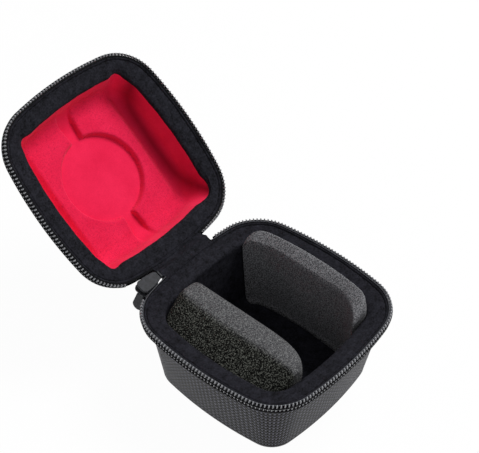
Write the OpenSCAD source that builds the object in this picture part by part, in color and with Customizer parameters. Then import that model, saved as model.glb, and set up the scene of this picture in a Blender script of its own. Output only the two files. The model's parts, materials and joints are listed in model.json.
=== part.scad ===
// Hard moulded travel case for one wristwatch, shown open.
// Millimetres. X runs along the hinge, the front is -Y, and the case stands on z = 0.
// A half's wall is a stack of rings. A ring lies a given inset inside the case's outline.

/* [Case outline] */
// Width over the zip teeth
case_w = 92; // [84:1:110]
// Depth over the zip teeth, front to back
case_d = 93; // [84:1:110]
// Corner radius in plan
corner_r = 21.7; // [19:0.1:25]
// How far each side bows outwards
side_bow = 6.3; // [4:0.1:8]

/* [Base] */
// Height of the zip's middle above the table
base_h = 42; // [38:1:52]
// Draft of the base's wall, inset for each millimetre of depth
base_draft = 0.17; // [0.1:0.01:0.22]
// Rounding between the base's wall and its floor
base_round = 4; // [3:0.5:6]

/* [Lid] */
// Height of the lid above the zip's middle
lid_h = 22; // [20:0.5:25]
// Draft of the lid's wall
lid_draft = 0.32; // [0.26:0.01:0.36]
// Rounding between the lid's wall and its top
lid_round = 7; // [6:0.5:8]
// How far the lid stands open
lid_open = 140; // [90:1:150]
// Depth of the four pressed panels in the lid's top
panel_depth = 2.2; // [1:0.1:2.6]
// Radius of the raised round field in the middle of the lid
disc_r = 22.5; // [18:0.5:25]
// Half width of the raised band that runs from it to the front and the back
band_half = 5.5; // [4:0.5:8]
// Width of the slopes between the raised and the pressed fields
slope_w = 4.5; // [3:0.5:6]

/* [Wall] */
// Inset of the shell's outside at the rim
shell_inset = 3.4; // [3:0.1:4]
// Inset of the opening's edge
mouth_inset = 10.7; // [10.4:0.1:12]
// Thickness of the woven outer fabric
cover_t = 0.8; // [0.5:0.1:1]
// Thickness of the inner lining
lining_t = 0.8; // [0.5:0.1:1]
// Thickness of the floor
wall_t = 5; // [4.5:0.1:6]
// Thickness of the lid's top
top_t = 3.4; // [3.2:0.1:5]
// Thickness of the soft band on the rim
rim_band_t = 1.2; // [0.8:0.1:1.4]

/* [Zip] */
// Distance between two teeth of one row
tooth_pitch = 1.7; // [1.6:0.05:2.4]
// Width of a tooth along the row
tooth_w = 0.62; // [0.5:0.01:0.66]
// Thickness of a tooth
tooth_t = 1; // [0.8:0.1:1.1]
// Height of a tooth across the chain
tooth_h = 3.6; // [3:0.1:4]
// How far the two rows reach into each other in the closed case
mesh_depth = 0.5; // [0.3:0.1:0.6]
// Thickness of the zip tape
tape_t = 0.9; // [0.6:0.1:1]
// How far down the wall the tape is sewn
tape_drop = 6.4; // [6:0.1:7]

/* [Hinge] */
// Half width of the fabric strip that joins the halves
strip_half = 15.1; // [12:0.1:18]
// Thickness of the strip
strip_t = 0.9; // [0.6:0.1:1]
// Distance of the fold line behind the case's outline
fold_back = 1.3; // [1.2:0.1:2]
// Depth of the fold line below the zip's middle
fold_drop = 1.5; // [1.3:0.1:1.7]
// Where the base's teeth end on the right, from the middle
base_row_end = 24; // [18:0.5:28]
// Where the lid's teeth end on the right, from the middle
lid_row_end = 20; // [18:0.5:28]

/* [Slider] */
// Length of the slider
slider_l = 12.4; // [11:0.1:13]
// Width of the slider
slider_w = 7.4; // [7:0.1:7.6]
// Thickness of the slider over both plates
slider_t = 4.4; // [4.2:0.1:4.6]
// Thickness of each plate
plate_t = 0.9; // [0.7:0.1:1]
// Height of the bridge above the outer plate
bridge_h = 2.8; // [2.4:0.1:3.2]
// Wire thickness of the pull
wire_d = 1.1; // [0.9:0.1:1.3]
// Length of the grip on the pull
grip_l = 11; // [8:0.5:14]
// Width of the grip
grip_w = 5; // [4:0.5:6]
// Thickness of the grip
grip_t = 1.8; // [1.5:0.1:2.2]

/* [Cushions] */
// Place of the left cushion's inner side at the back, from the middle
left_inner = -8; // [-12:0.5:-4]
// How far the left cushion's front corner is drawn back
left_taper = 8; // [2:0.5:10]
// Height of the left cushion's ridge above the zip's middle
left_rise = 4; // [2:0.5:6]
// Width of the right cushion at the rim, in the middle of its length
right_width = 7.4; // [7:0.1:10]
// Reach of the right cushion's front end towards the middle
right_hook = 10; // [4:0.5:11]
// Height of the right cushion's flat top above the zip's middle
right_rise = 1.5; // [-2:0.5:2.5]
// Air between a cushion and the lining
cushion_gap = 0.3; // [0.3:0.1:0.6]

/* [Stitching] */
// Length of a stitch
stitch_l = 1.9; // [1.5:0.1:2.4]
// Distance from one stitch to the next
stitch_pitch = 2.9; // [2.6:0.1:4]
// Thickness of the thread
thread_d = 0.4; // [0.3:0.05:0.5]

/* [Hidden] */

cover_colour = "#26262a";
lining_colour = "#1c1c1f";
red_colour = "#c4122f";
foam_colour = "#4b4c4b";
core_colour = "#333338";
zip_colour = "#303034";
metal_colour = "#6e7073";

clear = 0.3;
far = 200;

// ---- the case's outline: four bowed sides joined by corner arcs ----
side_steps = 3;
corner_steps = 8;
// Stops along a front or back side, in shares of its arc, fine beside the raised band
back_shares = [0.333, 0.6, 0.8, 1];
half_w = case_w / 2;
half_d = case_d / 2;
// Radius of a side's arc from its half chord and its bow
function side_radius(half_chord) = (half_chord * half_chord + side_bow * side_bow) / (2 * side_bow);
radius_x = side_radius(half_d);
radius_y = side_radius(half_w);
centre_x = half_w - radius_x;
centre_y = half_d - radius_y;
// The corner's centre lies corner_r inside both side arcs
reach_x = radius_x - corner_r;
reach_y = radius_y - corner_r;
gap_xy = norm([centre_x, centre_y]);
along = (reach_x * reach_x - reach_y * reach_y + gap_xy * gap_xy) / (2 * gap_xy);
across = sqrt(reach_x * reach_x - along * along);
unit_xy = [-centre_x, centre_y] / gap_xy;
corner_c = [centre_x, 0] + unit_xy * along + [-unit_xy.y, unit_xy.x] * across;
angle_x = atan2(corner_c.y, corner_c.x - centre_x);
angle_y = atan2(corner_c.y - centre_y, corner_c.x);

// Points of one quarter as [x, y, direction of the outward normal]
quarter = concat(
    [for (i = [0:side_steps - 1]) let (a = angle_x * i / side_steps)
        [centre_x + radius_x * cos(a), radius_x * sin(a), a]],
    [for (i = [0:corner_steps]) let (a = angle_x + (angle_y - angle_x) * i / corner_steps)
        [corner_c.x + corner_r * cos(a), corner_c.y + corner_r * sin(a), a]],
    [for (i = back_shares) let (a = angle_y + (90 - angle_y) * i)
        [radius_y * cos(a), centre_y + radius_y * sin(a), a]]
);
last = len(quarter) - 1;
outline = concat(
    [for (i = [0:last - 1]) quarter[i]],
    [for (i = [last:-1:1]) [-quarter[i].x, quarter[i].y, 180 - quarter[i][2]]],
    [for (i = [0:last - 1]) [-quarter[i].x, -quarter[i].y, 180 + quarter[i][2]]],
    [for (i = [last:-1:1]) [quarter[i].x, -quarter[i].y, -quarter[i][2]]]
);
count = len(outline);

// ---- rings and the solids made of them ----
function smooth(v) = let (t = min(1, max(0, v))) t * t * (3 - 2 * t);
// Depth of the pressed panels at a place on the lid's top
panel_edge = half_w - shell_inset - lid_draft * (lid_h - lid_round - 2.6) - lid_round - 0.8;
function pressed(x, y) = panel_depth
    * smooth((norm([x, y]) - disc_r) / slope_w)
    * smooth((abs(x) - band_half) / slope_w)
    * smooth((panel_edge - abs(x)) / slope_w);
// A ring is [inset, height, scale, share of the pressed panels]
function ring(r) = [for (p = outline)
    let (x = (p.x - r[0] * cos(p[2])) * r[2], y = (p.y - r[0] * sin(p[2])) * r[2])
    [x, y, r[1] - (r[3] == 0 ? 0 : r[3] * pressed(x, y))]];
function joined(lists) = [for (l = lists) for (e = l) e];
// Triangles between two neighbouring rings of n points; "back" splits each four the other way
function skin(n, a, b, back = false) = joined([for (i = [0:n - 1]) let (j = (i + 1) % n)
    back
        ? [[a * n + i, b * n + i, a * n + j], [a * n + j, b * n + i, b * n + j]]
        : [[a * n + i, b * n + i, b * n + j], [a * n + i, b * n + j, a * n + j]]]);

// A closed solid: rings from its first cap to its last cap, each cap drawn to a centre point
module stack(rings, first_c, last_c) {
    n = len(rings[0]);
    m = len(rings);
    polyhedron(
        points = concat(joined(rings), [first_c, last_c]),
        faces = concat(
            joined([for (k = [0:m - 2]) skin(n, k, k + 1, k >= m / 2)]),
            [for (i = [0:n - 1]) [m * n, i, (i + 1) % n]],
            [for (i = [0:n - 1]) [m * n + 1, (m - 1) * n + (i + 1) % n, (m - 1) * n + i]]
        ),
        convexity = 6
    );
}

// A band all round: its section as [inset, depth from the zip's middle] points, listed upwards
// along the outer side and back down along the inner one
module band(section) {
    m = len(section);
    polyhedron(
        points = joined([for (s = section) ring([s[0], -s[1], 1, 0])]),
        faces = joined([for (k = [0:m - 1]) skin(count, k, (k + 1) % m)]),
        convexity = 6
    );
}

// Repeats the child along the outline at an inset; x points outwards. The back is left free
// between two places.
module along_rim(inset, pitch, shift, from_x, to_x) {
    for (i = [0:count - 1])
        let (
            a = outline[i],
            b = outline[(i + 1) % count],
            p = [a.x - inset * cos(a[2]), a.y - inset * sin(a[2])],
            q = [b.x - inset * cos(b[2]), b.y - inset * sin(b[2])],
            n = max(1, round(norm(q - p) / pitch))
        )
        for (k = [0:n - 1])
            let (m = p + (q - p) * (k + shift) / n)
            if (m.y < 0 || m.x < from_x || m.x > to_x)
                translate([m.x, m.y, 0])
                    rotate([0, 0, atan2(q.y - p.y, q.x - p.x) - 90]) children();
}

// ---- the walls as lists of rings, from the middle out to the rim ----
rim_z = 2.6;
mouth_z = 3.6;
arc_steps = [90, 60, 30, 0];

// Surfaces of the base, heights above the table; "into" is measured into the wall
function base_outer(into) = let (
        wall_foot = shell_inset + base_draft * (base_h - rim_z - base_round))
    concat(
        [for (a = arc_steps) [
            wall_foot + base_round - (base_round - into) * cos(a),
            base_round - (base_round - into) * sin(a), 1, 0]],
        [[shell_inset + into, base_h - rim_z, 1, 0]]
    );
mouth_round = 3.5;
function base_inner(into) = let (
        z_round = wall_t + mouth_round,
        wall_foot = mouth_inset - into + 0.1 * (base_h - mouth_z - z_round))
    concat(
        [for (a = arc_steps) [
            wall_foot + mouth_round + into - (mouth_round + into) * cos(a),
            z_round - (mouth_round + into) * sin(a), 1, 0]],
        [[mouth_inset - into, base_h - mouth_z, 1, 0]]
    );

// Surfaces of the lid, heights above the zip's middle
top_scales = [0.14, 0.3, 0.46, 0.6, 0.72, 0.83, 0.92];
function lid_outer(into) = let (
        z_round = lid_h - lid_round,
        wall_head = shell_inset + lid_draft * (z_round - rim_z),
        top_inset = wall_head + lid_round)
    concat(
        [for (s = top_scales) [top_inset, lid_h - into, s, 1]],
        [for (a = arc_steps) [
            top_inset - (lid_round - into) * cos(a),
            z_round + (lid_round - into) * sin(a), 1, a / 90]],
        [[shell_inset + into, rim_z, 1, 0]]
    );
function lid_inner(into) = let (
        z_round = lid_h - top_t - mouth_round,
        wall_head = mouth_inset - into + 0.2 * (z_round - mouth_z),
        top_inset = wall_head + mouth_round + into)
    concat(
        [for (s = top_scales) [top_inset, lid_h - top_t + into, s, 1]],
        [for (a = arc_steps) [
            top_inset - (mouth_round + into) * cos(a),
            z_round + (mouth_round + into) * sin(a), 1, a / 90]],
        [[mouth_inset - into, mouth_z, 1, 0]]
    );
function reversed(l) = [for (i = [len(l) - 1:-1:0]) l[i]];
function rings(list) = [for (r = list) ring(r)];

// One layer of a half, between an outer and an inner surface
module base_layer(outside, inside, z_out, z_in)
    stack(rings(concat(outside, reversed(inside))), [0, 0, z_out], [0, 0, z_in]);
module lid_layer(outside, inside, z_out, z_in)
    mirror([0, 0, 1])
        stack(rings([for (r = concat(outside, reversed(inside))) [r[0], -r[1], r[2], -r[3]]]),
            [0, 0, -z_out], [0, 0, -z_in]);

// ---- frames ----
fold_y = half_d + fold_back;
fold_z = base_h - fold_drop;
// Puts a part of the closed lid, drawn above the zip's middle, in its open place
module open_lid()
    translate([0, fold_y, fold_z]) rotate([-lid_open, 0, 0])
        translate([0, -fold_y, fold_drop]) children();
// Puts a part drawn round the fold line half way between the base and the lid
module on_fold() translate([0, fold_y, fold_z]) rotate([-lid_open / 2, 0, 0]) children();
module on_rim() translate([0, 0, base_h]) children();
// Turns a rim part of the base over for the lid
module flipped() mirror([0, 0, 1]) children();

module base_cover()
    color(cover_colour) base_layer(base_outer(0), base_outer(cover_t), 0, cover_t);
module base_core()
    color(core_colour) base_layer(base_outer(cover_t), base_inner(lining_t), cover_t, wall_t - lining_t);
module base_lining()
    color(lining_colour) base_layer(base_inner(lining_t), base_inner(0), wall_t - lining_t, wall_t);
module lid_cover()
    color(cover_colour) open_lid() lid_layer(lid_outer(0), lid_outer(cover_t), lid_h, lid_h - cover_t);
module lid_core()
    color(core_colour) open_lid()
        lid_layer(lid_outer(cover_t), lid_inner(lining_t), lid_h - cover_t, lid_h - top_t + lining_t);
module lid_lining()
    color(red_colour) open_lid()
        lid_layer(lid_inner(lining_t), lid_inner(0), lid_h - top_t + lining_t, lid_h - top_t);

// ---- the rim: soft band, zip tape, teeth, stitches ----
slide_room = 7;
slider_end = -(strip_half + 1.4);
relief_r = norm([slider_w, slider_t]) / 2 + clear;
tape_in = tooth_t + tape_t;
tooth_low = tooth_h - mesh_depth / 2;
tape_top = 0.9;
seam_z = tape_drop - 0.9;
ledge_z = tooth_low + 0.9;
// Inset of the shell's outside at a depth
function wall_at(draft, d) = shell_inset + draft * (d - rim_z);

// Room for the slider round the fold line, and the hinge strip's room at the back
module without_fold(z) {
    difference() {
        children();
        translate([slider_end - slider_l - slide_room, fold_y, z]) rotate([0, 90, 0])
            cylinder(r = relief_r, h = slider_l + slide_room + 1.4, $fn = 24);
    }
}
module without_strip()
    difference() {
        children();
        translate([-strip_half, 0, -far / 2]) cube([2 * strip_half, far, far]);
    }

module rim_band() band([
    [tape_in, 2.2], [tape_in, rim_z - rim_band_t],
    [mouth_inset - 1.6, mouth_z - rim_band_t], [mouth_inset - 0.4, mouth_z - 0.7],
    [mouth_inset, mouth_z], [mouth_inset - lining_t, mouth_z],
    [shell_inset + cover_t, rim_z], [shell_inset, rim_z]
]);
module zip_tape(draft) without_strip() band([
    [wall_at(draft, tape_drop), tape_drop], [1.2, seam_z], [0.3, ledge_z], [0.3, tooth_low],
    [tooth_t, tooth_low], [tooth_t, tape_top], [tape_in, tape_top], [tape_in, 2.2],
    [shell_inset, rim_z]
]);
module zip_teeth(shift, row_end)
    along_rim(0, tooth_pitch, shift, -slider_l - slide_room + slider_end + 4, row_end)
        translate([-tooth_t, -tooth_w / 2, -tooth_low]) cube([tooth_t, tooth_w, tooth_h]);
// The stitches lie on the slope of the rim band
stitch_in = 2.9;
band_slope = atan((mouth_z - rim_z) / (mouth_inset - 1.6 - tape_in));
module stitches()
    along_rim(stitch_in, stitch_pitch, 0.5, -strip_half - slider_l - slide_room, strip_half)
        translate([0, 0, -(rim_z - rim_band_t) - (stitch_in - tape_in) * tan(band_slope)])
            rotate([0, -band_slope, 0])
                translate([-thread_d / 2, -stitch_l / 2, 0]) cube([thread_d, stitch_l, thread_d]);

module base_rim_band() color(lining_colour) on_rim() without_fold(-fold_drop) rim_band();
module base_zip_tape() color(zip_colour) on_rim() without_fold(-fold_drop) zip_tape(base_draft);
module base_zip_teeth() color(zip_colour) on_rim() zip_teeth(0.25, base_row_end);
module base_stitches() color(foam_colour) on_rim() stitches();
module lid_rim_band() color(lining_colour) open_lid() without_fold(-fold_drop) flipped() rim_band();
module lid_zip_tape() color(zip_colour) open_lid() without_fold(-fold_drop) flipped() zip_tape(lid_draft);
module lid_zip_teeth() color(zip_colour) open_lid() flipped() zip_teeth(0.75, lid_row_end);
module lid_stitches() color(foam_colour) open_lid() flipped() stitches();

// ---- the hinge: an outer strip and an inner lining, each in a half for the base and the lid ----
fold_air = 0.15;
strip_out = -(fold_back - 0.2);
strip_in = strip_out + strip_t;
module back_piece(section)
    intersection() {
        band(section);
        translate([-strip_half, 0, -far / 2]) cube([2 * strip_half, far, far]);
    }
module hinge_strip(draft, top) back_piece([
    [wall_at(draft, tape_drop), tape_drop], [strip_out, ledge_z], [strip_out, top],
    [strip_in, top], [strip_in, ledge_z - 0.3], [wall_at(draft, seam_z), seam_z]
]);
module hinge_lining(draft, top) back_piece([
    [wall_at(draft, seam_z), seam_z], [strip_in, ledge_z - 0.3], [strip_in, top],
    [tape_in, top], [tape_in, 2.2], [shell_inset, rim_z]
]);
module base_hinge_strip() color(cover_colour) on_rim() hinge_strip(base_draft, fold_drop + fold_air);
module base_hinge_lining() color(lining_colour) on_rim() hinge_lining(base_draft, fold_drop + fold_air);
module lid_hinge_strip()
    color(cover_colour) open_lid() flipped() hinge_strip(lid_draft, -fold_drop + fold_air);
module lid_hinge_lining()
    color(lining_colour) open_lid() flipped() hinge_lining(lid_draft, -fold_drop + fold_air);

// ---- the zip's end, slider and pull, drawn round the fold line with y outwards ----
slider_x = slider_end - 0.1 - slider_l / 2;
pin_y = slider_t / 2 + 0.95;
leg_l = 6;
leg_z = 2;
eye_r = 1.5;

module zip_bottom_stop()
    color(metal_colour) on_fold()
        translate([slider_end + 0.2, -1.2, -1.6]) cube([1, 2.4, 3.2]);

module slider_plate() linear_extrude(plate_t) polygon([
    [-slider_l / 2, -slider_w / 4], [-slider_l / 2 + 1.6, -slider_w / 2], [-1, -slider_w / 2],
    [slider_l / 2 - 1, 1.1 - slider_w / 2], [slider_l / 2, 2 - slider_w / 2],
    [slider_l / 2, slider_w / 2 - 2], [slider_l / 2 - 1, slider_w / 2 - 1.1],
    [-1, slider_w / 2], [-slider_l / 2 + 1.6, slider_w / 2], [-slider_l / 2, slider_w / 4]
]);
module slider_body()
    color(metal_colour) on_fold() translate([slider_x, 0, 0]) {
        translate([0, slider_t / 2, 0]) rotate([90, 0, 0]) slider_plate();
        translate([0, plate_t - slider_t / 2, 0]) rotate([90, 0, 0]) slider_plate();
        // The post that parts the two rows of teeth
        translate([2 - slider_l / 2, slider_t / 2 - plate_t, 0]) rotate([90, 0, 0])
            cylinder(r = 1.1, h = slider_t - 2 * plate_t, $fn = 24);
        // The turned edges that hold the rows together
        for (side = [-1, 1], face = [-1, 1])
            translate([slider_l / 4 - 1, face * (slider_t / 2 - plate_t - 0.4), side * (slider_w / 2 - 1.6)])
                cube([slider_l / 2 - 2.2, 0.8, 0.7], center = true);
    }
module slider_bridge()
    color(metal_colour) on_fold() translate([slider_x, slider_t / 2, -0.9])
        linear_extrude(1.8) polygon([
            [-3.8, 0], [-3.4, bridge_h - 0.8], [-2.6, bridge_h], [2.4, bridge_h], [3.4, bridge_h - 1],
            [3.8, 0], [2.2, 0], [1.9, bridge_h - 0.9], [-1.9, bridge_h - 0.9], [-2.2, 0]
        ]);
module wire_bar(from, h, turn) translate(from) rotate(turn) cylinder(d = wire_d, h = h, $fn = 20);
module pull_wire()
    color(metal_colour) on_fold() translate([slider_x, pin_y, 0]) {
        for (y = [0, leg_l]) {
            wire_bar([0, y, -leg_z], 2 * leg_z, [0, 0, 0]);
            for (side = [-1, 1]) translate([0, y, side * leg_z]) sphere(d = wire_d, $fn = 20);
        }
        for (side = [-1, 1]) wire_bar([0, 0, side * leg_z], leg_l, [-90, 0, 0]);
    }
module pull_grip()
    color(metal_colour) on_fold() translate([slider_x, pin_y + leg_l, 0]) {
        difference() {
            translate([0, 0, -1]) cylinder(r = eye_r, h = 2, $fn = 32);
            translate([0, 0, -2]) cylinder(r = wire_d / 2 + 0.3, h = 4, $fn = 32);
        }
        translate([grip_t / 2, 0, 0]) rotate([0, -90, 0]) linear_extrude(grip_t)
            union() {
                translate([-1, eye_r - 0.4]) square([2, 1]);
                translate([-grip_w / 2, eye_r + 0.3]) square([grip_w, grip_l - grip_w / 2]);
                translate([0, eye_r + 0.3 + grip_l - grip_w / 2]) circle(d = grip_w, $fn = 40);
            }
    }

// ---- the cushions: sections across the case, set side by side from front to back ----
cushion_foot = wall_t + cushion_gap;
end_round = 4;
// Crowns as [share of the way from the wall to the inner side, drop from the top]
left_crown = [[0, 9], [0.15, 6.2], [0.34, 2.4], [0.46, 0.4], [0.54, 0], [0.68, 0.5], [0.84, 1.4],
    [0.95, 2.8], [1, 5]];
right_crown = [[0, 1.4], [0.08, 0.4], [0.2, 0], [0.5, 0], [0.8, 0], [0.92, 0.4], [1, 1.4]];
// Inset of the opening's wall at a height, with the cushion's air
function mouth_at(z) = mouth_inset + 0.1 * (base_h - mouth_z - max(z, wall_t + mouth_round)) + cushion_gap;
// Place of the opening's side wall at y and at an inset
function side_x(y, t) = abs(y) < (radius_x - t) * sin(angle_x)
    ? centre_x + sqrt(pow(radius_x - t, 2) - y * y)
    : corner_c.x + sqrt(max(0, pow(corner_r - t, 2) - pow(abs(y) - corner_c.y, 2)));
cushion_end = corner_c.y + (corner_r - mouth_inset - cushion_gap) * sin(angle_y) - 0.4;
// Sections stand close together at the rounded ends
stations = [for (u = [-1, -0.985, -0.94, -0.88, -0.8, -0.65, -0.45, -0.22, 0, 0.22, 0.45, 0.65, 0.8,
    0.88, 0.94, 0.985, 1]) u * cushion_end];
function end_drop(y) = let (t = max(0, (abs(y) - cushion_end + end_round) / end_round))
    end_round * (1 - sqrt(max(0, 1 - 0.96 * t * t)));
// A section at y between the right-hand wall and the inner side
function cushion_section(y, inner, rise, crown) = let (
        top = base_h + rise - end_drop(y),
        low = cushion_foot + mouth_round)
    concat(
        [for (e = [[cushion_foot, mouth_round + 0.1], [low, 0]])
            let (t = mouth_at(e[0]), f = (half_d - t - e[1]) / (half_d - mouth_at(base_h)))
            [side_x(y * f, t + e[1]), y * f, e[0]]],
        [for (c = crown)
            let (
                z = top - c[1],
                t = mouth_at(z),
                f = min(1, (half_d - t) / (half_d - mouth_at(base_h))),
                x_wall = side_x(y * f, t))
            [x_wall + (inner - x_wall) * c[0], y * f, z]],
        [for (e = [[low, 0], [cushion_foot, mouth_round + 0.1]])
            let (t = mouth_at(e[0]), f = (half_d - t - e[1]) / (half_d - mouth_at(base_h)))
            [inner, y * f, e[0]]]
    );
function middle(section) = let (n = len(section)) [for (k = [0:2])
    [for (p = section) p[k]] * [for (p = section) 1] / n];
module cushion(sections)
    stack(sections, middle(sections[0]), middle(sections[len(sections) - 1]));

function left_side(y) = let (t = (cushion_end - y) / (2 * cushion_end))
    -left_inner + left_taper * pow(t, 10);
right_inner = half_w - mouth_inset - cushion_gap - right_width;
function right_side(y) = let (t = max(0, abs(y) - 16) / (cushion_end - 16))
    right_inner - right_hook * (y < 0 ? 1 : 0.5) * t * t;
module left_cushion()
    color(foam_colour) mirror([1, 0, 0])
        cushion([for (y = stations) cushion_section(y, left_side(y), left_rise, left_crown)]);
module right_cushion()
    color(foam_colour)
        cushion([for (y = stations) cushion_section(y, right_side(y), right_rise, right_crown)]);

base_cover();
base_core();
base_lining();
base_rim_band();
base_zip_tape();
base_zip_teeth();
base_stitches();
base_hinge_strip();
base_hinge_lining();
left_cushion();
right_cushion();
lid_cover();
lid_core();
lid_lining();
lid_rim_band();
lid_zip_tape();
lid_zip_teeth();
lid_stitches();
lid_hinge_strip();
lid_hinge_lining();
zip_bottom_stop();
slider_body();
slider_bridge();
pull_wire();
pull_grip();
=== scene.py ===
# %% [markdown]
# # A hard zip case for one wristwatch
# The case is two moulded halves of fabric over stiff foam. A coil zip closes them on three sides and
# a fabric strip hinges them at the back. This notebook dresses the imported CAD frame: it builds each
# piece in millimetres, where its CAD node is, and gives every surface the material that the real one
# is made of.

# %% The frame and the tools
import json
import math

import bmesh
import bpy
import numpy as np
from mathutils import Matrix, Vector


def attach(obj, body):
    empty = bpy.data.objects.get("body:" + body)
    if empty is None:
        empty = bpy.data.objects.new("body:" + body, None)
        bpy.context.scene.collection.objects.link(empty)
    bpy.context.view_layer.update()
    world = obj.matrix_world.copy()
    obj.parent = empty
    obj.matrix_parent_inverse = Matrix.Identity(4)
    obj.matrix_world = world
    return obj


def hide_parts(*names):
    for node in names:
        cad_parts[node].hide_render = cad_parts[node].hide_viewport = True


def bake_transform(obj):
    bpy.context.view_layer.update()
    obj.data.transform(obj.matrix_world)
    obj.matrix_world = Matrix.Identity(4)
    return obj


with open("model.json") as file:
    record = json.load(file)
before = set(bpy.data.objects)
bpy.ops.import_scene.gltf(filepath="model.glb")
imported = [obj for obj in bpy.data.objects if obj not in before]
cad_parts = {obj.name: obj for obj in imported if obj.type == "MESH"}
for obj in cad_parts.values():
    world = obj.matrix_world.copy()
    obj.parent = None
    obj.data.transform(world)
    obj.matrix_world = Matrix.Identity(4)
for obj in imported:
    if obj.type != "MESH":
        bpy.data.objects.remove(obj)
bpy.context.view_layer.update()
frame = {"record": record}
MM = 0.001


def linked(name, data):
    """A new object in the scene."""
    thing = bpy.data.objects.new(name, data)
    bpy.context.scene.collection.objects.link(thing)
    return thing


# %% [markdown]
# ## Camera
# The photograph looks down at the front left corner of the open case. Its camera was worked out
# from the case's own edges: a long lens, well above the rim, rolled by a degree and a half. It comes
# first because every later step is judged through it.

# %% Camera
PHOTO_WIDTH_PX, FOCAL_LENGTH_PX, SENSOR_MM = 479, 1587.3, 36.0
AZIMUTH, ELEVATION, ROLL = (math.radians(angle) for angle in (-50.29, 45.22, 1.52))
TARGET_MM, DISTANCE_MM = (28.68, 40.02, 42.25), 709.4

backwards = Vector((math.sin(AZIMUTH) * math.cos(ELEVATION), -math.cos(AZIMUTH) * math.cos(ELEVATION),
                    math.sin(ELEVATION)))
lens = bpy.data.cameras.new("photo_camera")
lens.sensor_width, lens.clip_end = SENSOR_MM, 20.0
lens.lens = FOCAL_LENGTH_PX * SENSOR_MM / PHOTO_WIDTH_PX
camera = linked("photo_camera", lens)
camera.matrix_world = (Matrix.Translation((Vector(TARGET_MM) + backwards * DISTANCE_MM) * MM)
                       @ backwards.to_track_quat("Z", "Y").to_matrix().to_4x4()
                       @ Matrix.Rotation(ROLL, 4, "Z"))
bpy.context.scene.camera = camera
print("camera lens: %.1f mm" % lens.lens)

# %% [markdown]
# ## The outline that every piece follows
# Seen from above, both halves have the same outline: four sides that bow outwards, joined by round
# corners. Each ring of each shell, the zip, and the soft band on the rim lie at some inset from it.
# One function gives its points at equal steps, starting behind the hinge, with the direction that
# points outwards. Insets move a point along that direction, which keeps arcs as arcs.

# %% Driving sizes, in millimetres
CASE_W, CASE_D = 92.0, 93.0
CORNER_R, SIDE_BOW = 21.7, 6.3
BASE_H, LID_H = 42.0, 22.0
LID_TURN = math.radians(-140.0)
SHELL_INSET, MOUTH_INSET = 3.4, 10.7
RIM_Z, MOUTH_Z = 2.6, 3.6
BASE_DRAFT, LID_DRAFT = 0.17, 0.32
BASE_ROUND, LID_ROUND, MOUTH_ROUND, LID_FILLET = 4.0, 7.0, 3.5, 8.0
FLOOR_T, TOP_T = 5.0, 3.4
COVER_T, LINING_T, BAND_T = 0.8, 0.8, 1.2
FOLD_BACK, FOLD_DROP = 1.3, 1.5
FOLD_Y, FOLD_Z = CASE_D / 2 + FOLD_BACK, BASE_H - FOLD_DROP
STRIP_HALF = 15.1


def run(line):
    """The way gone along a line at each of its points."""
    return np.concatenate(([0], np.cumsum(np.linalg.norm(np.diff(line, axis=0), axis=1))))


def outline(count, first=0.0, last=1.0):
    """Points of the outline at equal steps: x, y, the outward direction and the way gone.

    0 is the middle of the back; the count runs to the left side, the front and the right side.
    """
    half_w, half_d = CASE_W / 2, CASE_D / 2
    rx, ry = ((half ** 2 + SIDE_BOW ** 2) / (2 * SIDE_BOW) for half in (half_d, half_w))
    ax, by = half_w - rx, half_d - ry
    reach_x, reach_y, gap = rx - CORNER_R, ry - CORNER_R, math.hypot(ax, by)
    along = (reach_x ** 2 - reach_y ** 2 + gap ** 2) / (2 * gap)
    across = math.sqrt(reach_x ** 2 - along ** 2)
    ux, uy = -ax / gap, by / gap
    cx, cy = ax + ux * along - uy * across, uy * along + ux * across
    a0, a1, a2 = math.atan2(cy, cx - ax), math.atan2(cy - by, cx), math.pi / 2
    quarter = []
    for x, y, r, start, end in ((ax, 0, rx, 0, a0), (cx, cy, CORNER_R, a0, a1), (0, by, ry, a1, a2)):
        angles = np.linspace(start, end, 400, endpoint=False)
        quarter.append(np.column_stack((x + r * np.cos(angles), y + r * np.sin(angles), angles)))
    quarter = np.vstack(quarter + [[[0, half_d, a2]]])
    half_turn, full_turn = (0, 0, math.pi), (0, 0, 2 * math.pi)
    loop = np.vstack((quarter[::-1] * (-1, 1, -1) + half_turn, quarter[1:] * (-1, -1, 1) + half_turn,
                      quarter[::-1][1:] * (1, -1, -1) + full_turn, quarter[1:] + full_turn))
    length = run(loop[:, :2])
    wanted = length[-1] * np.linspace(first, last, count, endpoint=last - first < 0.9999)
    x, y, a = (np.interp(wanted, length, loop[:, k]) for k in range(3))
    return np.column_stack((x, y, np.cos(a), np.sin(a), wanted))


FINE = outline(4000)
RIM_LENGTH = FINE[-1, 4] * 4000 / 3999
print("length of the outline: %.1f mm" % RIM_LENGTH)

# %% [markdown]
# ## From rings to meshes
# A shell is a stack of rings, as a potter would raise it: each ring is an inset and a height. The
# lid's top also has rings that shrink towards its middle, so that the pressed pattern has enough
# points to show. Cloth patterns have to follow the wall, so each face gets its place on the unrolled
# cloth, in millimetres, as its UV map.

# %% Mesh helpers


def finish_mesh(name, points_mm, faces, uvs=None, sharp_deg=40.0):
    """A mesh object at the origin from points in millimetres, smooth but for its sharp edges."""
    mesh = bpy.data.meshes.new(name)
    mesh.from_pydata((np.asarray(points_mm) * MM).tolist(), [], faces)
    if uvs:
        layer = mesh.uv_layers.new(name="cloth_mm")
        layer.data.foreach_set("uv", np.asarray(uvs, dtype=np.float32).ravel())
    mesh.validate()
    mesh.shade_smooth()
    mesh.set_sharp_from_angle(angle=math.radians(sharp_deg))
    return linked(name, mesh)


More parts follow.
